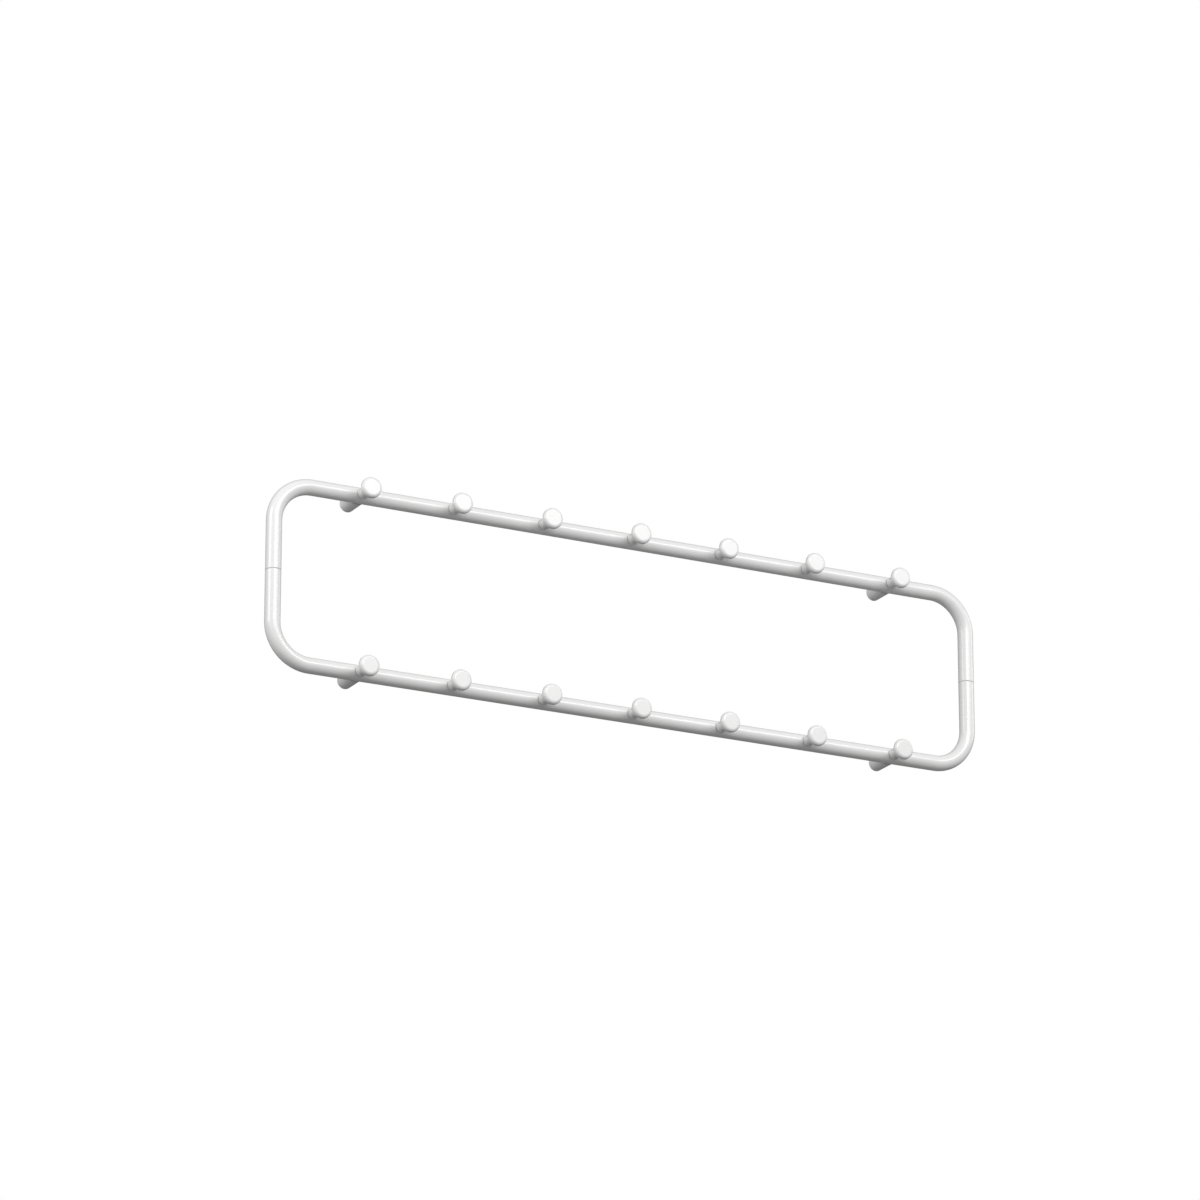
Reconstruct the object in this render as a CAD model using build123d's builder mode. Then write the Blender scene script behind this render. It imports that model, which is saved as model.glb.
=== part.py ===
from build123d import *
from math import radians, tan
import os

# Wall coat rack: a two-part tube frame on four stand-offs, with a row of turned knobs on each rail.
# X runs along the rails, Z is up, and the wall is the plane Y = 0 with the rack on its -Y side.
# The origin is the middle of the four wall fixings.

# Tube frame
frame_length = 600.0  # over the outside of the tube
frame_height = 150.0  # over the outside of the tube
tube_diameter = 12.0
tube_wall = 1.5
bend_radius = 30.0  # of the tube's centre line
rail_to_wall = 22.5  # from the tube's centre line
seam_chamfer = 0.5  # on the outer edge of each tube end

# Spigots inside the seams of the frame
spigot_length = 40.0
spigot_clearance = 0.1  # all round
spigot_chamfer = 0.8

# Knobs
knobs_per_rail = 7
end_knob_inset = 75.0  # from the outside of the frame to the axis of an end knob
knob_reach = 17.0  # from the rail to the face
head_diameter = 16.0
head_side = 1.4  # straight part of the rim
head_back_radius = 0.6
rim_radius = 2.3  # between the side and the face
neck_diameter = 8.2
neck_length = 2.0  # straight part, before the flare
base_diameter = 9.0
base_length = 2.0
base_back_radius = 0.9  # on the edge next to the rail
base_front_radius = 0.35

# Studs that hold the knobs
stud_diameter = 5.0
stud_chamfer = 0.5
stud_end_gap = 1.0  # to the bottom of a blind hole
stud_overrun = 0.5  # past the collar of the rail
thread_clearance = 0.05  # all round a stud in its tapped hole
through_clearance = 0.25  # all round a stud that passes through the rail
knob_hole_depth = 9.0
drill_point_angle = 118.0
collar_diameter = 8.0  # formed inside the rail round each tapped hole
collar_depth = 2.0  # beyond the wall of the tube

# Stand-offs
standoff_diameter = 12.0
standoff_chamfer = 0.4
saddle_depth = 1.5  # how far the saddle reaches round the rail
saddle_clearance = 0.05
wall_hole_diameter = 6.0  # tapped for the wall fixing
wall_hole_depth = 7.0
standoff_web = 2.5  # metal left between the two blind holes

# Places that follow from the sizes
tube_radius = tube_diameter / 2
bore_radius = tube_radius - tube_wall
post_x = frame_length / 2 - tube_radius
rail_z = frame_height / 2 - tube_radius
rail_y = -rail_to_wall
seat_y = rail_y - tube_radius
knob_pitch = (frame_length - 2 * end_knob_inset) / (knobs_per_rail - 1)
knob_places = [end_knob_inset - frame_length / 2 + n * knob_pitch for n in range(knobs_per_rail)]
end_places = [knob_places[0], knob_places[-1]]
inner_places = knob_places[1:-1]
collar_reach = tube_wall + collar_depth
stud_radius = stud_diameter / 2
tapped_radius = stud_radius + thread_clearance
knob_stud_grip = knob_hole_depth - stud_end_gap
standoff_hole_depth = rail_to_wall - tube_radius - wall_hole_depth - standoff_web
standoff_stud_grip = standoff_hole_depth - stud_end_gap

rail_plane = Plane.XZ.offset(-rail_y)
seat_plane = Plane.XZ.offset(-seat_y)
stud_tip_plane = Plane.XZ.offset(-seat_y + knob_stud_grip)

rails = {"upper": rail_z, "lower": -rail_z}

os.makedirs("parts", exist_ok=True)


def save(piece, name):
    """Labels a finished piece and writes its file."""
    piece.label = name
    export_step(piece, f"parts/{name}.step")


# Two halves of the tube frame, each a rail with a bend and half a post at both ends
for rail, height in rails.items():
    corners = [(-post_x, 0), (-post_x, height), (post_x, height), (post_x, 0)]

    # The bore keeps clear of the collars that are formed round the tapped holes
    with BuildPart() as bore:
        with BuildLine(rail_plane) as route:
            FilletPolyline(*corners, radius=bend_radius)
        end_plane = Plane(origin=route.line @ 0, z_dir=route.line % 0)
        with BuildSketch(end_plane):
            Circle(bore_radius)
        sweep(path=route.line)
        with BuildSketch(seat_plane):
            with Locations(*[(x, height) for x in inner_places]):
                Circle(collar_diameter / 2)
        extrude(amount=-collar_reach, mode=Mode.SUBTRACT)

    with BuildPart() as frame_tube:
        with BuildSketch(end_plane):
            Circle(tube_radius)
        sweep(path=route.line)
        seam_edges = frame_tube.edges().group_by(Axis.Z)[0 if height > 0 else -1]
        chamfer(seam_edges, seam_chamfer)
        add(bore.part, mode=Mode.SUBTRACT)
        with BuildSketch(seat_plane):
            with Locations(*[(x, height) for x in inner_places]):
                Circle(tapped_radius)
        extrude(amount=-collar_reach, mode=Mode.SUBTRACT)
        with BuildSketch(seat_plane):
            with Locations(*[(x, height) for x in end_places]):
                Circle(stud_radius + through_clearance)
        extrude(amount=-tube_diameter, mode=Mode.SUBTRACT)
    save(frame_tube.part, f"{rail}_frame_tube")

# Spigots that keep the two halves in line at the seams
for end, x in {"left": -post_x, "right": post_x}.items():
    with BuildPart() as spigot:
        with BuildSketch(Plane(origin=(x, rail_y, -spigot_length / 2))):
            Circle(bore_radius - spigot_clearance)
        extrude(amount=spigot_length)
        chamfer(spigot.edges().filter_by(GeomType.CIRCLE), spigot_chamfer)
    save(spigot.part, f"joint_spigot_{end}")

# Turned knobs: a base ring on the rail, a neck that flares to the head, and a blind tapped hole
base_radius = base_diameter / 2
neck_radius = neck_diameter / 2
head_radius = head_diameter / 2
flare_start = base_length + neck_length
rim_start = knob_reach - rim_radius
flare_end = rim_start - head_side
hole_tip = knob_hole_depth + tapped_radius / tan(radians(drill_point_angle / 2))

for rail, height in rails.items():
    for number, x in enumerate(knob_places, start=1):
        seat = (x, seat_y, height)
        with BuildPart() as knob:
            with BuildSketch(Plane(origin=seat, x_dir=(1, 0, 0), z_dir=(0, 0, -1))) as section:
                with BuildLine():
                    Polyline(
                        (head_radius - rim_radius, knob_reach),
                        (0, knob_reach),
                        (0, hole_tip),
                        (tapped_radius, knob_hole_depth),
                        (tapped_radius, 0),
                        (base_radius - base_back_radius, 0),
                    )
                    back_end = (base_radius, base_back_radius)
                    TangentArc((base_radius - base_back_radius, 0), back_end, tangent=(1, 0))
                    Line(back_end, (base_radius, base_length - base_front_radius))
                    front_end = (base_radius - base_front_radius, base_length)
                    TangentArc((base_radius, base_length - base_front_radius), front_end, tangent=(0, 1))
                    Polyline(front_end, (neck_radius, base_length), (neck_radius, flare_start))
                    TangentArc((neck_radius, flare_start), (head_radius, flare_end), tangent=(0, 1))
                    Line((head_radius, flare_end), (head_radius, rim_start))
                    TangentArc((head_radius, rim_start), (head_radius - rim_radius, knob_reach), tangent=(0, 1))
                make_face()
                back_corner = section.vertices().group_by(Axis.X)[-1].sort_by(Axis.Y)[0]
                fillet(back_corner, head_back_radius)
            revolve(axis=Axis(seat, (0, -1, 0)))
        save(knob.part, f"knob_{rail}_{number}")

# Short studs, from the collars of the rails into the knobs between the stand-offs
with BuildPart() as knob_studs:
    with BuildSketch(stud_tip_plane):
        with Locations(*[(x, height) for height in rails.values() for x in inner_places]):
            Circle(stud_radius)
    extrude(amount=-(knob_stud_grip + collar_reach + stud_overrun))
    chamfer(knob_studs.edges().filter_by(GeomType.CIRCLE), stud_chamfer)
save(knob_studs.part, "knob_studs")

# Long studs, from the end knobs through the rails into the stand-offs
with BuildPart() as standoff_studs:
    with BuildSketch(stud_tip_plane):
        with Locations(*[(x, height) for height in rails.values() for x in end_places]):
            Circle(stud_radius)
    extrude(amount=-(knob_stud_grip + tube_diameter + standoff_stud_grip))
    chamfer(standoff_studs.edges().filter_by(GeomType.CIRCLE), stud_chamfer)
save(standoff_studs.part, "standoff_studs")

# Stand-offs: round bars with a saddle for the rail and a tapped hole at each end
for rail, height in rails.items():
    for end, x in zip(("left", "right"), end_places):
        with BuildPart() as standoff:
            with BuildSketch(Plane.XZ):
                with Locations((x, height)):
                    Circle(standoff_diameter / 2)
            extrude(amount=rail_to_wall - tube_radius + saddle_depth)
            chamfer(standoff.edges().group_by(Axis.Y)[-1], standoff_chamfer)
            with BuildSketch(Plane.YZ.offset(x)):
                with Locations((rail_y, height)):
                    Circle(tube_radius + saddle_clearance)
            extrude(amount=standoff_diameter, both=True, mode=Mode.SUBTRACT)
            with BuildSketch(rail_plane):
                with Locations((x, height)):
                    Circle(tapped_radius)
            extrude(amount=-(tube_radius + standoff_hole_depth), mode=Mode.SUBTRACT)
            with BuildSketch(Plane.XZ):
                with Locations((x, height)):
                    Circle(wall_hole_diameter / 2)
            extrude(amount=wall_hole_depth, mode=Mode.SUBTRACT)
        save(standoff.part, f"standoff_{rail}_{end}")
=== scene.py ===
"""Looks of a wall coat rack: a frame of bent tube, turned knobs and stand-offs in white powder coat."""
from math import asin, cos, pi, radians, sin, tan

import bmesh
import bpy
from bpy.props import FloatProperty, FloatVectorProperty, IntProperty, PointerProperty
from mathutils import Matrix, Vector


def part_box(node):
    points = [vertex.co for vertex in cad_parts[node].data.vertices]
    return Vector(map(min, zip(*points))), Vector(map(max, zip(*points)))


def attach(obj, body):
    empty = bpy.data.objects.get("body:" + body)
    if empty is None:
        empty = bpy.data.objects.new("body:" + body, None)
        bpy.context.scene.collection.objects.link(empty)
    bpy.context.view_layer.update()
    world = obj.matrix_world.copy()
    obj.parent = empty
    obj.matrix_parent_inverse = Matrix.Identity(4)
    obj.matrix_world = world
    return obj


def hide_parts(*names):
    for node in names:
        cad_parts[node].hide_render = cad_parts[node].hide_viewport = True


bl_info = {
    "name": "Wall coat rack",
    "version": (1, 0, 0),
    "blender": (4, 5, 0),
    "location": "3D View > Sidebar > Coat rack",
    "description": "Dresses the solid model of a wall coat rack in its finished meshes, coats and studio",
    "category": "Add Mesh",
}

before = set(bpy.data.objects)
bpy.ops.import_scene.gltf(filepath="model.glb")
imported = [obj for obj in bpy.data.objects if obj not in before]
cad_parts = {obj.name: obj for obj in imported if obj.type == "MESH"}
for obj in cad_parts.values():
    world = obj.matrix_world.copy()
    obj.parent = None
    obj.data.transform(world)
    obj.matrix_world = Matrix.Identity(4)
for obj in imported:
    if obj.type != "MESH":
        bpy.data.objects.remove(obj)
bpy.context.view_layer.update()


def middle(node):
    """Centre of a solid's box."""
    low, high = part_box(node)
    return (low + high) / 2


# Places of the pieces, read from the frame
ENDS = ("left", "right")
RAILS = ("upper", "lower")
KNOB_NODES = sorted(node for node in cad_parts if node.startswith("knob_") and node[-1].isdigit())
STANDOFF_NODES = [f"standoff_{rail}_{end}" for rail in RAILS for end in ENDS]
STEEL_NODES = ("joint_spigot_left", "joint_spigot_right", "knob_studs", "standoff_studs")
SEAM = {end: middle(f"joint_spigot_{end}") for end in ENDS}
RAIL_Y = SEAM["left"].y
RAIL_HEIGHT = {rail: middle(f"standoff_{rail}_left").z for rail in RAILS}
WALL_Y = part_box(STANDOFF_NODES[0])[1].y
SEAT_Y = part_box(KNOB_NODES[0])[1].y
FACE_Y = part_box(KNOB_NODES[0])[0].y

BODY = "root"

FORWARD = Vector((0, -1, 0))
ALONG = Vector((1, 0, 0))
UP = Vector((0, 0, 1))
FULL_TURN = 2 * pi
QUARTER_TURN = pi / 2

# Meshes: the angle from which an edge is sharp, distances that count as none, and how far behind a
# rounded edge its next ring lies
SHARP_ANGLE = radians(38)
MERGE_DISTANCE = 1e-6
CORNER_TOLERANCE = 1e-6
EDGE_GUARD = 0.0003

# Rings of the rail's mesh on both sides of a knob: their distance from its axis, as a share of its base
RING_SHARE = 0.48

# Holes: faces round one in the tube and in a stand-off, and the slope of a drill's point
TUBE_HOLE_SIDES = 32
STANDOFF_HOLE_SIDES = 40
DRILL_POINT_SLOPE = radians(31)

# Metric thread: its depth, crest and root as shares of the pitch, the turns that the tap stands out of its
# hole, and the turns over which each of its ends runs
THREAD_DEPTH = 0.5413
THREAD_CREST = 0.25
THREAD_ROOT = 0.125
TAP_LEAD = 2
TAP_END = 1.01

# Powder coat: scales of the orange peel, the finer grain and the drift of tone, the peel's share of the
# relief, the relief's strength and height, the tint where the tone is warmest, and the roughness's range
PEEL_SCALE = 1500.0
GRAIN_SCALE = 4200.0
DRIFT_SCALE = 9.0
PEEL_SHARE = 0.85
COAT_RELIEF = 0.1
COAT_RELIEF_HEIGHT = 0.00001
WARM_TINT = (0.985, 0.982, 0.975)
COAT_ROUGHNESS_RANGE = 0.04
COAT_IOR = 1.6

# Painted shade that darkens the coat's colour in creases and where two pieces meet: how far it reaches, what it
# leaves of the colour, and the rays that look for it
PAINTED_SHADE_REACH = 0.0012
PAINTED_SHADE_LEVEL = 0.5
PAINTED_SHADE_SAMPLES = 4

# Plated steel: scales of the turning marks and the clouds, what a dull cloud leaves of the colour, the
# strength and height of the marks' relief, and the roughness's range
MARKS_SCALE = (400.0, 9000.0, 400.0)
CLOUD_SCALE = 160.0
DULL_SHADE = 0.86
MARKS_RELIEF = 0.2
MARKS_RELIEF_HEIGHT = 0.00002
STEEL_ROUGHNESS_RANGE = 0.1

# Floor: scale of its mottling, its two tones, its roughness and its glow
FLOOR_SCALE = 1.5
FLOOR_TONES = (0.84, 0.87)
FLOOR_ROUGHNESS = 0.8
FLOOR_GLOW = 0.52

# Studio light: each side of the dome, as its X and Y and its levels above and below the horizon, the
# rise over which those meet, and for each softbox its azimuth, elevation, distance, width, height and power
DOME = {
    "front": (0, -1, 0.65, 0.18),
    "back": (0, 1, 0.05, 0.05),
    "left": (-1, 0, 0.54, 0.52),
    "right": (1, 0, 0.18, 0.24),
}
HORIZON_BLEND = 0.1
SOFTBOXES = {
    "key": (-2, 24, 2.4, 1.2, 0.84, 20),
    "key_right_high": (26, 28, 2.4, 1.0, 0.4, 7.4),
    "key_right_low": (26, 20, 2.4, 1.0, 0.4, 3.15),
    "left_side": (-79, 18, 1.0, 0.4, 0.4, 1.9),
    "right_side": (80, 15, 1.0, 0.4, 0.4, 1.0),
}
BACK_FILL = (152.7, 18.6, 2.4, 0.8, 0.8, 30)

# Backdrop: the tone that it shares with the floor, and the rises of the view at which it starts to pale
# and is white
BACKDROP_TONE = 0.78
BACKDROP_PALES = 0.08
BACKDROP_WHITE = 0.19

# Camera: width of its sensor in millimetres, and how far it sees
SENSOR_WIDTH = 36.0
VIEW_DEPTH = 100.0


def direction_to(azimuth, elevation):
    """Unit vector from the rack to a place round it. Azimuth 0 is straight in front."""
    return Vector((sin(azimuth) * cos(elevation), -cos(azimuth) * cos(elevation), sin(elevation)))


def length(name, description, default):
    """A size in metres that a user may change."""
    return FloatProperty(name=name, description=description, default=default, min=0, unit="LENGTH", precision=5)


def angle(name, description, degrees):
    """An angle that a user may change."""
    return FloatProperty(name=name, description=description, default=radians(degrees), subtype="ANGLE")


def number(name, description, default):
    """A plain number that a user may change."""
    return FloatProperty(name=name, description=description, default=default, precision=4)


def count(name, description, default):
    """A whole number that a user may change."""
    return IntProperty(name=name, description=description, default=default, min=1)


def colour(name, description, default):
    """A colour that a user may change."""
    return FloatVectorProperty(name=name, description=description, default=default, size=3, subtype="COLOR")


class RackFrameSizes(bpy.types.PropertyGroup):
    """Sizes of the tube frame."""
    tube_diameter: length("Tube", "Outside diameter of the tube", 0.012)
    tube_wall: length("Wall", "Wall of the tube", 0.0015)
    bend_radius: length("Bend", "Radius of the bends at the tube's centre line", 0.030)
    seam_chamfer: length("Seam chamfer", "Chamfer on the tube ends that meet at a seam", 0.0005)
    collar_diameter: length("Collar", "Diameter of the collars formed inside the rails", 0.008)
    collar_depth: length("Collar depth", "How far a collar stands in from the wall", 0.002)
    tapped_diameter: length("Tapped hole", "Hole for a stud that is screwed into the rail", 0.0051)
    through_diameter: length("Through hole", "Hole for a stud that passes through the rail", 0.0055)
    sides: count("Sides", "Faces round the tube", 96)
    bend_steps: count("Bend steps", "Faces along a bend", 32)
    seam_steps: count("Seam steps", "Faces across the chamfer at a seam", 2)


class RackKnobSizes(bpy.types.PropertyGroup):
    """Sizes of a turned knob."""
    head_diameter: length("Head", "Diameter of the head", 0.016)
    head_side: length("Side", "Straight side of the head", 0.0014)
    head_back_radius: length("Back edge", "Rounding between the flare and the side", 0.0006)
    rim_radius: length("Rim", "Rounding between the side and the face", 0.0023)
    neck_diameter: length("Neck", "Diameter of the neck", 0.0082)
    neck_length: length("Neck length", "Straight part of the neck", 0.002)
    base_diameter: length("Base", "Diameter of the base ring", 0.009)
    base_length: length("Base length", "Length of the base ring", 0.002)
    base_back_radius: length("Base back", "Rounding of the base ring next to the rail", 0.0009)
    base_front_radius: length("Base front", "Rounding of the base ring next to the neck", 0.00035)
    hole_diameter: length("Hole", "Tapped hole for the stud", 0.0051)
    hole_depth: length("Hole depth", "Depth of the tapped hole", 0.009)
    sides: count("Sides", "Faces round the knob", 80)
    flare_steps: count("Flare steps", "Faces along the flare", 16)
    rim_steps: count("Rim steps", "Faces along the rounded rim", 14)
    edge_steps: count("Edge steps", "Faces along a small rounding", 5)


class RackStandoffSizes(bpy.types.PropertyGroup):
    """Sizes of a stand-off."""
    diameter: length("Diameter", "Diameter of the bar", 0.012)
    edge: length("Edge", "Rounding on the wall end", 0.0004)
    saddle_depth: length("Saddle", "How far the saddle reaches round the rail", 0.0015)
    saddle_clearance: length("Clearance", "Room between saddle and rail", 0.00005)
    stud_hole_diameter: length("Stud hole", "Tapped hole for the stud", 0.0051)
    wall_hole_diameter: length("Wall hole", "Tapped hole for the wall fixing", 0.006)
    wall_hole_depth: length("Wall hole depth", "Depth of the wall hole", 0.007)
    wall_thread_pitch: length("Wall thread", "Pitch of the thread in the wall hole", 0.001)
    web: length("Web", "Metal left between the two holes", 0.0025)
    sides: count("Sides", "Faces round the bar", 96)
    edge_steps: count("Edge steps", "Faces along the rounding on the wall end", 4)


class RackFinish(bpy.types.PropertyGroup):
    """Colours and gloss of the finishes."""
    coat_colour: colour("Coat", "Colour of the powder coat", (0.86, 0.86, 0.86))
    coat_roughness: number("Coat roughness", "Roughness of the powder coat", 0.2)
    steel_colour: colour("Steel", "Colour of the plated steel", (0.62, 0.62, 0.63))
    steel_roughness: number("Steel roughness", "Roughness of the plated steel", 0.32)


class RackStage(bpy.types.PropertyGroup):
    """Floor and camera."""
    floor_drop: length("Floor", "How far the floor lies under the rack", 1.65)
    floor_size: length("Floor size", "Side of the floor", 90.0)
    camera_azimuth: angle("Azimuth", "Camera's turn about the rack", -27.293)
    camera_elevation: angle("Elevation", "Camera's height angle", -18.603)
    camera_distance: length("Distance", "Camera to its aim", 4.68056)
    camera_lens: number("Lens", "Focal length in millimetres", 186.6835)
    aim_x: number("Aim X", "Where the camera looks, along the rails", -0.024634)
    aim_z: number("Aim Z", "Where the camera looks, up", 0.018566)


# Meshes


def edges_of(geometry):
    return [item for item in geometry if isinstance(item, bmesh.types.BMEdge)]


def verts_of(geometry):
    return [item for item in geometry if isinstance(item, bmesh.types.BMVert)]


def ring(bm, centre, axis, radius, sides):
    """Edges of a circle about an axis."""
    turn = UP.rotation_difference(axis).to_matrix().to_4x4()
    place = Matrix.Translation(centre) @ turn
    made = bmesh.ops.create_circle(bm, segments=sides, radius=radius, matrix=place)
    return list({edge for vert in made["verts"] for edge in vert.link_edges})


def push(bm, edges, offset):
    """Walls from a ring along an offset. Returns the ring at the far end."""
    made = bmesh.ops.extrude_edge_only(bm, edges=edges)["geom"]
    verts = verts_of(made)
    bmesh.ops.translate(bm, verts=verts, vec=offset)
    far = set(verts)
    return [edge for edge in edges_of(made) if far.issuperset(edge.verts)]


def bend(bm, edges, centre, turn, steps):
    """Walls from a ring round a bend. Returns the ring at the far end."""
    verts = list({vert for edge in edges for vert in edge.verts})
    made = bmesh.ops.spin(bm, geom=verts + edges, cent=centre, axis=(0, 1, 0), angle=turn, steps=steps)
    return edges_of(made["geom_last"])


def cap(bm, edges):
    """Closes a ring with one face."""
    bmesh.ops.contextual_create(bm, geom=edges)


def polyline(bm, vert, *places):
    """Straight edges from a vertex through places. Returns the last vertex."""
    for place in places:
        vert = bmesh.ops.extrude_vert_indiv(bm, verts=[vert])["verts"][0]
        vert.co = place
    return vert


def soften(bm, edges, reach, steps):
    """Rounds edges."""
    bmesh.ops.bevel(bm, geom=edges, offset=reach, offset_type="OFFSET", segments=steps, profile=0.5,
                    affect="EDGES", material=-1)


def tidy(bm):
    """Merges what meets and turns every face outwards."""
    bmesh.ops.remove_doubles(bm, verts=bm.verts, dist=MERGE_DISTANCE)
    bmesh.ops.recalc_face_normals(bm, faces=bm.faces)
    return bm


def rods(places, axis, radius, reach, sides):
    """Like closed round bars at several places, in one mesh."""
    bm = bmesh.new()
    for place in places:
        near = ring(bm, place, axis, radius, sides)
        far = push(bm, near, axis * reach)
        cap(bm, near)
        cap(bm, far)
    return tidy(bm)


def to_object(bm, name):
    """Ends a mesh under construction as an object at the origin."""
    mesh = bpy.data.meshes.new(name)
    bm.to_mesh(mesh)
    bm.free()
    piece = bpy.data.objects.new(name, mesh)
    bpy.context.scene.collection.objects.link(piece)
    return piece


def carve(bm, cutter):
    """Cuts one closed mesh out of another."""
    whole = bm.calc_volume()
    least = whole - cutter.calc_volume()
    body = to_object(bm, "carved")
    tool = to_object(cutter, "cutter")
    cut = body.modifiers.new("cut", "BOOLEAN")
    cut.operation = "DIFFERENCE"
    cut.solver = "EXACT"
    cut.object = tool
    bpy.context.view_layer.update()
    result = bmesh.new()
    result.from_object(body, bpy.context.evaluated_depsgraph_get())
    for piece in (body, tool):
        mesh = piece.data
        bpy.data.objects.remove(piece)
        bpy.data.meshes.remove(mesh)
    if not least < result.calc_volume() < whole:
        raise RuntimeError("a cut took away too much or nothing")
    return result


def dress(bm, name, node, material):
    """Turns a finished mesh into the piece that stands for a solid."""
    for face in bm.faces:
        face.smooth = True
    for edge in bm.edges:
        edge.smooth = edge.is_manifold and edge.calc_face_angle() < SHARP_ANGLE
    piece = to_object(bm, name)
    piece.data.materials.append(material)
    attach(piece, BODY)
    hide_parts(node)
    return piece


# Materials


class Socket:
    """An output socket whose operators add Math nodes."""

    def __init__(self, shader, output):
        self.shader = shader
        self.output = output

    def math(self, operation, *values):
        return self.shader.node("ShaderNodeMath", {"operation": operation}, dict(enumerate(values)))

    def __add__(self, other):
        return self.math("ADD", self, other)

    __radd__ = __add__

    def __mul__(self, other):
        return self.math("MULTIPLY", self, other)

    __rmul__ = __mul__


class Shader:
    """A material or world under construction."""

    def __init__(self, owner):
        owner.use_nodes = True
        self.tree = owner.node_tree
        self.tree.nodes.clear()

    def node(self, kind, settings=None, inputs=None, output=0):
        """Adds a node with its settings, then the values or links of its sockets."""
        made = self.tree.nodes.new(kind)
        for key, value in (settings or {}).items():
            setattr(made, key, value)
        for key, value in (inputs or {}).items():
            if isinstance(value, Socket):
                self.tree.links.new(value.output, made.inputs[key])
            else:
                made.inputs[key].default_value = value
        return Socket(self, made.outputs[output]) if made.outputs else made

    def noise(self, where, scale, detail):
        return self.node("ShaderNodeTexNoise", None, {"Vector": where, "Scale": scale, "Detail": detail})

    def mix(self, factor, first, second):
        """One colour turning into another as the factor goes from 0 to 1."""
        inputs = {"Factor": factor, 6: first, 7: second}
        return self.node("ShaderNodeMix", {"data_type": "RGBA"}, inputs, output=2)

    def relief(self, height, strength, distance):
        inputs = {"Strength": strength, "Distance": distance, "Height": height}
        return self.node("ShaderNodeBump", None, inputs)

    def surface(self, inputs):
        """Ends a material with one surface shader."""
        shader = self.node("ShaderNodeBsdfPrincipled", None, inputs)
        self.node("ShaderNodeOutputMaterial", None, {"Surface": shader})


def rgba(values):
    return (*values, 1.0)


def powder_coat(finish):
    """White powder coat: faint orange peel, a finer grain in the gloss, a slow drift of tone, and painted shade
    in its creases.
    """
    material = bpy.data.materials.new("white_powder_coat")
    shader = Shader(material)
    where = shader.node("ShaderNodeTexCoord", output="Object")
    # Painted shade: ambient occlusion darkens the coat's colour in creases, in recesses and where pieces meet
    painted_crease_shade = shader.node("ShaderNodeAmbientOcclusion", {"samples": PAINTED_SHADE_SAMPLES}, {"Distance": PAINTED_SHADE_REACH},
                         output="AO")
    peel = shader.noise(where, PEEL_SCALE, detail=2.0)
    grain = shader.noise(where, GRAIN_SCALE, detail=2.0)
    drift = shader.noise(where, DRIFT_SCALE, detail=3.0)
    pale = rgba(finish.coat_colour)
    warm = rgba([value * tint for value, tint in zip(finish.coat_colour, WARM_TINT)])
    # Colour of the painted shade in the creases
    painted_shade_colour = rgba([value * PAINTED_SHADE_LEVEL for value in finish.coat_colour])
    height = peel * PEEL_SHARE + grain * (1 - PEEL_SHARE)
    shader.surface({
        "Base Color": shader.mix(painted_crease_shade, painted_shade_colour, shader.mix(drift, warm, pale)),
        "Roughness": finish.coat_roughness - COAT_ROUGHNESS_RANGE / 2 + grain * COAT_ROUGHNESS_RANGE,
        "IOR": COAT_IOR,
        "Normal": shader.relief(height, COAT_RELIEF, COAT_RELIEF_HEIGHT),
    })
    return material


def plated_steel(finish):
    """Zinc-plated steel with fine turning marks and faint clouds."""
    material = bpy.data.materials.new("plated_steel")
    shader = Shader(material)
    where = shader.node("ShaderNodeTexCoord", output="Object")
    marks = shader.node("ShaderNodeMapping", None, {"Vector": where, "Scale": MARKS_SCALE})
    turned = shader.noise(marks, 1.0, detail=3.0)
    cloud = shader.noise(where, CLOUD_SCALE, detail=2.0)
    bright = rgba(finish.steel_colour)
    dull = rgba([value * DULL_SHADE for value in finish.steel_colour])
    shader.surface({
        "Base Color": shader.mix(cloud, dull, bright),
        "Metallic": 1.0,
        "Roughness": finish.steel_roughness - STEEL_ROUGHNESS_RANGE / 2 + turned * STEEL_ROUGHNESS_RANGE,
        "Normal": shader.relief(turned, MARKS_RELIEF, MARKS_RELIEF_HEIGHT),
    })
    return material


def finish_named(name, maker):
    """A finish that several operators share."""
    return bpy.data.materials.get(name) or maker(bpy.context.scene.rack_finish)


def coat():
    return finish_named("white_powder_coat", powder_coat)


def steel():
    return finish_named("plated_steel", plated_steel)


# Operators


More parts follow.
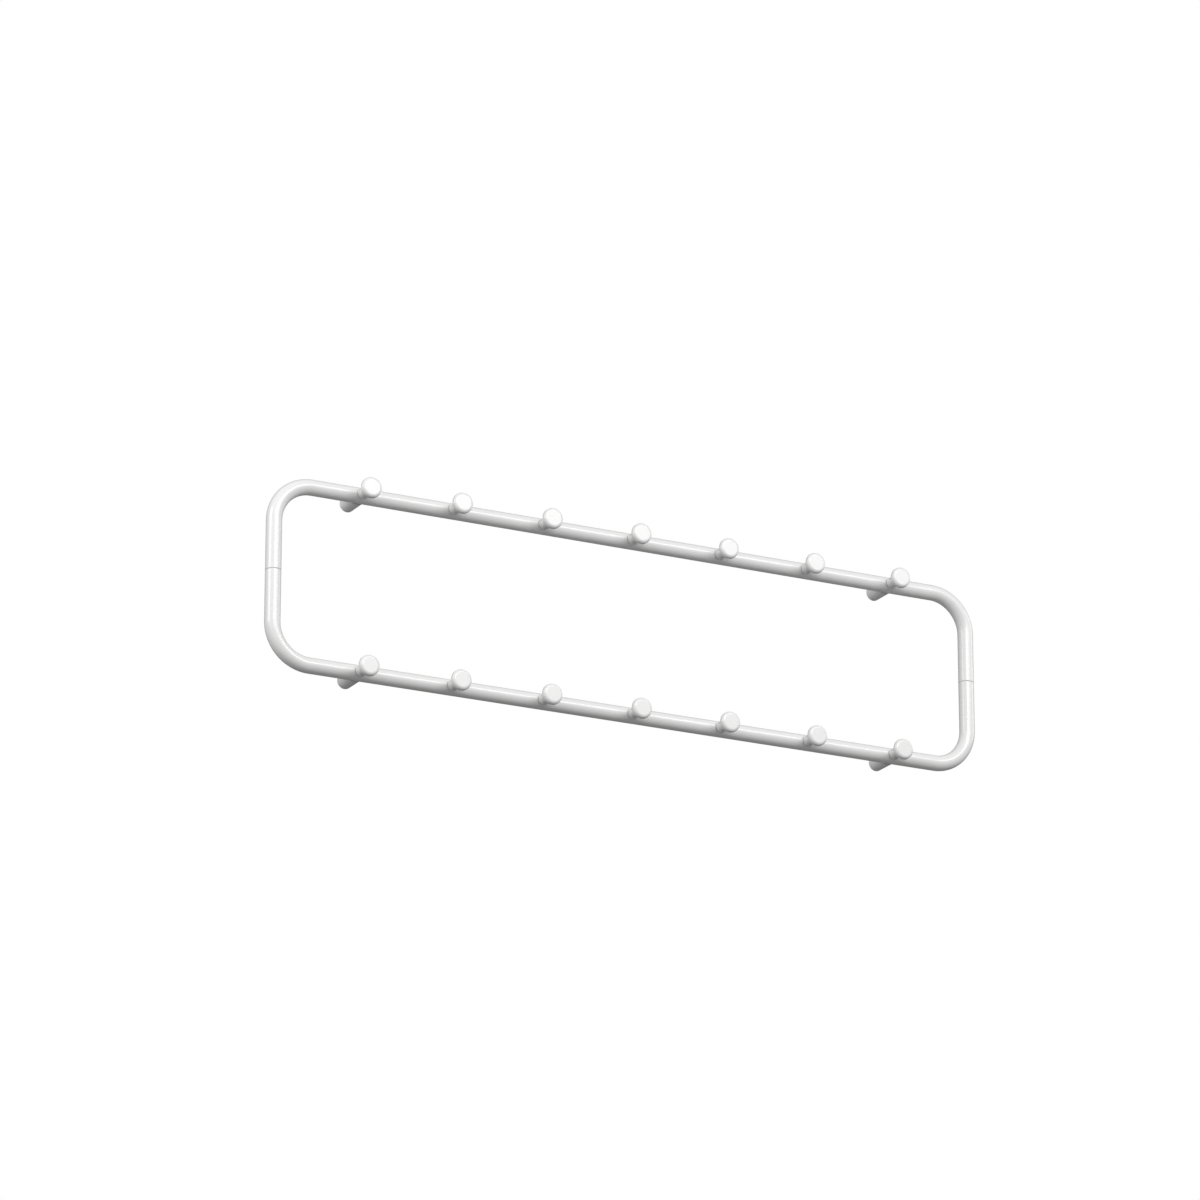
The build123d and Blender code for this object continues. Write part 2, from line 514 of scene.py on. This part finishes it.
class RACK_OT_frame_tubes(bpy.types.Operator):
    """Builds both halves of the tube frame, each a rail with a bend and half a post at both ends"""
    bl_idname = "rack.frame_tubes"
    bl_label = "Frame tubes"

    def swept(self, sizes, rail, radius, overrun=0):
        """A closed bar along the route of one half. Returns it with the edges of its two end rings."""
        bm = bmesh.new()
        side = UP if rail == "upper" else -UP
        leg = (abs(RAIL_HEIGHT[rail]) - sizes.bend_radius) * side
        guard = (sizes.seam_chamfer + EDGE_GUARD) * side
        inward = sizes.bend_radius * ALONG
        turn = QUARTER_TURN * side.z
        start = ring(bm, SEAM["left"] - overrun * side, UP, radius, sizes.sides)
        last = push(bm, start, guard + overrun * side)
        last = push(bm, last, leg - guard)
        last = bend(bm, last, SEAM["left"] + leg + inward, turn, sizes.bend_steps)
        for step in self.rail_steps(sizes, rail):
            last = push(bm, last, step * ALONG)
        last = bend(bm, last, SEAM["right"] + leg - inward, turn, sizes.bend_steps)
        last = push(bm, last, guard - leg)
        last = push(bm, last, -guard - overrun * side)
        cap(bm, start)
        cap(bm, last)
        return bm, start + last

    def knob_places(self, rail):
        """Where the knobs of a rail stand along it."""
        return [middle(node).x for node in KNOB_NODES if rail in node]

    def rail_steps(self, sizes, rail):
        """Lengths of the rail's straight stretches, with a ring close to each side of every knob."""
        reach = bpy.context.scene.rack_knobs.base_diameter * RING_SHARE
        first = SEAM["left"].x + sizes.bend_radius
        final = SEAM["right"].x - sizes.bend_radius
        stops = [first] + [x + shift for x in self.knob_places(rail) for shift in (-reach, reach)] + [final]
        return [after - before for before, after in zip(stops, stops[1:])]

    def execute(self, context):
        sizes = context.scene.rack_frame
        outside = sizes.tube_diameter / 2
        collar_reach = sizes.tube_wall + sizes.collar_depth
        for rail in RAILS:
            seats = [Vector((x, SEAT_Y, RAIL_HEIGHT[rail])) for x in self.knob_places(rail)]
            inner = seats[1:-1]
            ends = (seats[0], seats[-1])
            tube, rims = self.swept(sizes, rail, outside)
            soften(tube, rims, sizes.seam_chamfer, sizes.seam_steps)
            bore, _ = self.swept(sizes, rail, outside - sizes.tube_wall, overrun=outside)
            collars = rods(inner, -FORWARD, sizes.collar_diameter / 2, collar_reach, TUBE_HOLE_SIDES)
            tube = carve(tidy(tube), carve(tidy(bore), collars))
            for holes, diameter, depth in (
                (inner, sizes.tapped_diameter, collar_reach),
                (ends, sizes.through_diameter, sizes.tube_diameter + outside),
            ):
                starts = [seat + FORWARD * outside for seat in holes]
                tube = carve(tube, rods(starts, -FORWARD, diameter / 2, outside + depth, TUBE_HOLE_SIDES))
            dress(tube, f"{rail}_tube", f"{rail}_frame_tube", coat())
        return {"FINISHED"}


class RACK_OT_knobs(bpy.types.Operator):
    """Turns every knob from one half section"""
    bl_idname = "rack.knobs"
    bl_label = "Knobs"

    def turned(self, sizes, seat):
        """A knob on its seat: base ring, neck, flare, head with a rounded rim and flat face, blind hole."""
        reach = SEAT_Y - FACE_Y
        hole = sizes.hole_diameter / 2
        base = sizes.base_diameter / 2
        neck = sizes.neck_diameter / 2
        head = sizes.head_diameter / 2
        hole_tip = sizes.hole_depth + hole * tan(DRILL_POINT_SLOPE)
        flare_start = sizes.base_length + sizes.neck_length
        flare_end = reach - sizes.rim_radius - sizes.head_side
        flare_length = flare_end - flare_start
        flare_radius = ((head - neck) ** 2 + flare_length ** 2) / (2 * (head - neck))
        flare_angle = asin(flare_length / flare_radius)
        flat = head - sizes.rim_radius
        bm = bmesh.new()

        def at(radius, along):
            return seat + radius * ALONG + along * FORWARD

        def soften_corner(radius, along, offset, steps):
            """Rounds the ring of edges at one corner of the section."""
            centre = at(0, along)
            rim = [edge for edge in bm.edges if all(
                abs((vert.co - centre).length - radius) < CORNER_TOLERANCE
                and abs(vert.co.y - centre.y) < CORNER_TOLERANCE for vert in edge.verts)]
            soften(bm, rim, offset, steps)

        vert = bm.verts.new(at(0, hole_tip))
        vert = polyline(bm, vert, at(hole, sizes.hole_depth), at(hole, 0), at(base, 0),
                        at(base, sizes.base_length), at(neck, sizes.base_length), at(neck, flare_start))
        flare = bmesh.ops.spin(bm, geom=[vert], cent=at(neck + flare_radius, flare_start), axis=UP,
                               angle=flare_angle, steps=sizes.flare_steps)
        vert = verts_of(flare["geom_last"])[0]
        polyline(bm, vert, at(head, reach), at(flat - EDGE_GUARD, reach), at(0, reach))
        bmesh.ops.spin(bm, geom=bm.verts[:] + bm.edges[:], cent=seat, axis=FORWARD, angle=FULL_TURN,
                       steps=sizes.sides, use_merge=True)
        tidy(bm)
        soften_corner(base, 0, sizes.base_back_radius, sizes.edge_steps)
        soften_corner(base, sizes.base_length, sizes.base_front_radius, sizes.edge_steps)
        soften_corner(head, flare_end, sizes.head_back_radius * tan(flare_angle / 2), sizes.edge_steps)
        soften_corner(head, reach, sizes.rim_radius, sizes.rim_steps)
        return tidy(bm)

    def execute(self, context):
        for node in KNOB_NODES:
            centre = middle(node)
            seat = Vector((centre.x, SEAT_Y, centre.z))
            knob = self.turned(context.scene.rack_knobs, seat)
            dress(knob, node.replace("knob", "turned_knob"), node, coat())
        return {"FINISHED"}


class RACK_OT_standoffs(bpy.types.Operator):
    """Builds the four stand-offs, each a round bar with a saddle for the rail and a hole at each end"""
    bl_idname = "rack.standoffs"
    bl_label = "Stand-offs"

    def tap(self, sizes, foot):
        """The screw shape that cuts the wall hole's thread, from outside the wall end to the hole's bottom."""
        pitch = sizes.wall_thread_pitch
        root = sizes.wall_hole_diameter / 2
        crest = root - THREAD_DEPTH * pitch
        root_start = THREAD_CREST + (1 - THREAD_CREST - THREAD_ROOT) / 2
        section = (
            (crest, THREAD_CREST),
            (root, root_start),
            (root, root_start + THREAD_ROOT),
            (crest, 1),
        )
        mouth = -TAP_LEAD * pitch
        bottom = sizes.wall_hole_depth
        bm = bmesh.new()

        def at(radius, along):
            return foot + radius * ALONG + along * FORWARD

        vert = bm.verts.new(at(crest, mouth))
        for turn in range(round((bottom - pitch - mouth) / pitch)):
            start = mouth + turn * pitch
            vert = polyline(bm, vert, *[at(radius, start + share * pitch) for radius, share in section])
        bmesh.ops.spin(bm, geom=bm.verts[:] + bm.edges[:], cent=foot, axis=FORWARD, angle=FULL_TURN,
                       steps=STANDOFF_HOLE_SIDES, dvec=FORWARD * pitch / STANDOFF_HOLE_SIDES)
        bmesh.ops.remove_doubles(bm, verts=bm.verts, dist=MERGE_DISTANCE)
        rims = [edge for edge in bm.edges if edge.is_boundary]
        for end in (mouth, bottom):
            middle_of_end = at(0, end)
            rim = [edge for edge in rims
                   if abs((edge.verts[0].co - middle_of_end).dot(FORWARD)) < pitch * TAP_END]
            fan = bmesh.ops.extrude_edge_only(bm, edges=rim)
            bmesh.ops.pointmerge(bm, verts=verts_of(fan["geom"]), merge_co=middle_of_end)
        return tidy(bm)

    def bar(self, sizes, foot, rail_radius):
        """A stand-off on its place at the wall."""
        to_rail = WALL_Y - RAIL_Y
        back_of_rail = to_rail - rail_radius
        stud_hole = back_of_rail - sizes.wall_hole_depth - sizes.web
        guard = sizes.edge + EDGE_GUARD
        bm = bmesh.new()
        near = ring(bm, foot, FORWARD, sizes.diameter / 2, sizes.sides)
        far = push(bm, near, guard * FORWARD)
        far = push(bm, far, (back_of_rail + sizes.saddle_depth - guard) * FORWARD)
        cap(bm, near)
        cap(bm, far)
        soften(bm, near, sizes.edge, sizes.edge_steps)
        rail_middle = foot + to_rail * FORWARD
        saddle_start = rail_middle - sizes.diameter * ALONG
        saddle_radius = rail_radius + sizes.saddle_clearance
        saddle = rods([saddle_start], ALONG, saddle_radius, 2 * sizes.diameter, sizes.sides)
        stud_radius = sizes.stud_hole_diameter / 2
        stud = rods([rail_middle], -FORWARD, stud_radius, rail_radius + stud_hole, STANDOFF_HOLE_SIDES)
        bm = carve(tidy(bm), saddle)
        bm = carve(bm, stud)
        return carve(bm, self.tap(sizes, foot))

    def execute(self, context):
        rail_radius = context.scene.rack_frame.tube_diameter / 2
        for node in STANDOFF_NODES:
            centre = middle(node)
            foot = Vector((centre.x, WALL_Y, centre.z))
            bar = self.bar(context.scene.rack_standoffs, foot, rail_radius)
            dress(bar, node.replace("standoff", "wall_standoff"), node, coat())
        return {"FINISHED"}


class RACK_OT_steel_parts(bpy.types.Operator):
    """Gives the spigots and studs inside the rack their plated steel"""
    bl_idname = "rack.steel_parts"
    bl_label = "Steel parts"

    def execute(self, context):
        for node in STEEL_NODES:
            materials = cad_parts[node].data.materials
            materials.clear()
            materials.append(steel())
        return {"FINISHED"}


class RACK_OT_stage(bpy.types.Operator):
    """Sets the pale floor, the soft studio light and the camera"""
    bl_idname = "rack.stage"
    bl_label = "Stage"

    def floor(self, stage):
        """A pale floor with a glow of its own, so that it meets the backdrop without a line."""
        bm = bmesh.new()
        place = Matrix.Translation((0, 0, -stage.floor_drop))
        bmesh.ops.create_grid(bm, x_segments=1, y_segments=1, size=stage.floor_size / 2, matrix=place)
        floor = to_object(bm, "floor")
        material = bpy.data.materials.new("pale_floor")
        shader = Shader(material)
        where = shader.node("ShaderNodeTexCoord", output="Object")
        mottling = shader.noise(where, FLOOR_SCALE, detail=2.0)
        darker, paler = (rgba((tone,) * 3) for tone in FLOOR_TONES)
        shader.surface({
            "Base Color": shader.mix(mottling, darker, paler),
            "Roughness": FLOOR_ROUGHNESS,
            "Emission Color": rgba((FLOOR_GLOW,) * 3),
            "Emission Strength": 1.0,
        })
        material.cycles.emission_sampling = "NONE"
        floor.data.materials.append(material)
        floor.visible_diffuse = False
        floor.visible_glossy = False
        floor.visible_shadow = False

    def sky(self):
        """A pale backdrop that rises to white, and for the light a dome, brightest in front and on the left."""
        world = bpy.data.worlds.new("studio")
        bpy.context.scene.world = world
        world.cycles.sampling_method = "NONE"
        shader = Shader(world)
        white = rgba((1, 1, 1))
        direction = shader.node("ShaderNodeTexCoord", output="Generated")
        height = shader.node("ShaderNodeSeparateXYZ", None, {0: direction}, output=2)
        above = shader.node("ShaderNodeMapRange", None, {
            "Value": height, "From Min": -HORIZON_BLEND, "From Max": HORIZON_BLEND,
        })
        level = 0.0
        for x, y, high, low in DOME.values():
            toward = shader.node("ShaderNodeVectorMath", {"operation": "DOT_PRODUCT"},
                                 {0: direction, 1: (x, y, 0)}, output="Value")
            level = toward.math("MAXIMUM", toward, 0.0) * (above * (high - low) + low) + level
        dome = shader.node("ShaderNodeBackground", None, {"Color": white, "Strength": level})
        tone = shader.node("ShaderNodeMapRange", {"interpolation_type": "SMOOTHSTEP"}, {
            "Value": height, "From Min": BACKDROP_PALES, "From Max": BACKDROP_WHITE, "To Min": BACKDROP_TONE,
        })
        backdrop = shader.node("ShaderNodeBackground", None, {"Color": white, "Strength": tone})
        seen = shader.node("ShaderNodeLightPath", output="Is Camera Ray")
        both = shader.node("ShaderNodeMixShader", None, {0: seen, 1: dome, 2: backdrop})
        shader.node("ShaderNodeOutputWorld", None, {"Surface": both})

    def softbox(self, name, azimuth, elevation, distance, width, height, power, mirrored=True):
        """A soft lamp that faces the rack, and that its gloss mirrors or not."""
        light = bpy.data.lights.new(name, "AREA")
        light.shape = "RECTANGLE"
        light.size = width
        light.size_y = height
        light.energy = power
        lamp = bpy.data.objects.new(name, light)
        bpy.context.scene.collection.objects.link(lamp)
        toward = direction_to(radians(azimuth), radians(elevation))
        turn = toward.to_track_quat("Z", "Y").to_matrix().to_4x4()
        lamp.matrix_world = Matrix.Translation(toward * distance) @ turn
        lamp.visible_camera = False
        lamp.visible_glossy = mirrored

    def camera(self, stage):
        """A camera below the rack and to its left, held level."""
        lens = bpy.data.cameras.new("camera")
        lens.sensor_width = SENSOR_WIDTH
        lens.lens = stage.camera_lens
        lens.clip_end = VIEW_DEPTH
        camera = bpy.data.objects.new("camera", lens)
        bpy.context.scene.collection.objects.link(camera)
        back = direction_to(stage.camera_azimuth, stage.camera_elevation)
        right = Vector((cos(stage.camera_azimuth), sin(stage.camera_azimuth), 0))
        turn = Matrix((right, back.cross(right), back)).transposed().to_4x4()
        aim = Vector((stage.aim_x, RAIL_Y, stage.aim_z))
        camera.matrix_world = Matrix.Translation(aim + back * stage.camera_distance) @ turn
        bpy.context.scene.camera = camera

    def execute(self, context):
        stage = context.scene.rack_stage
        self.floor(stage)
        self.sky()
        for name, settings in SOFTBOXES.items():
            self.softbox(name, *settings)
        self.softbox("back_fill", *BACK_FILL, mirrored=False)
        self.camera(stage)
        context.scene.view_settings.view_transform = "Standard"
        return {"FINISHED"}


class RACK_PT_panel(bpy.types.Panel):
    """Lists the steps that dress the rack"""
    bl_idname = "RACK_PT_panel"
    bl_label = "Coat rack"
    bl_space_type = "VIEW_3D"
    bl_region_type = "UI"
    bl_category = "Coat rack"

    def draw(self, context):
        for step in STEPS:
            self.layout.operator(step.bl_idname)


SETTINGS = {
    "rack_frame": RackFrameSizes,
    "rack_knobs": RackKnobSizes,
    "rack_standoffs": RackStandoffSizes,
    "rack_finish": RackFinish,
    "rack_stage": RackStage,
}
STEPS = (RACK_OT_frame_tubes, RACK_OT_knobs, RACK_OT_standoffs, RACK_OT_steel_parts, RACK_OT_stage)


def register():
    for group in (*SETTINGS.values(), *STEPS, RACK_PT_panel):
        bpy.utils.register_class(group)
    for name, group in SETTINGS.items():
        setattr(bpy.types.Scene, name, PointerProperty(type=group))


def unregister():
    for name in SETTINGS:
        delattr(bpy.types.Scene, name)
    for group in reversed((*SETTINGS.values(), *STEPS, RACK_PT_panel)):
        bpy.utils.unregister_class(group)


def main():
    register()
    bpy.ops.rack.frame_tubes()
    bpy.ops.rack.knobs()
    bpy.ops.rack.standoffs()
    bpy.ops.rack.steel_parts()
    bpy.ops.rack.stage()


if __name__ == "__main__":
    main()
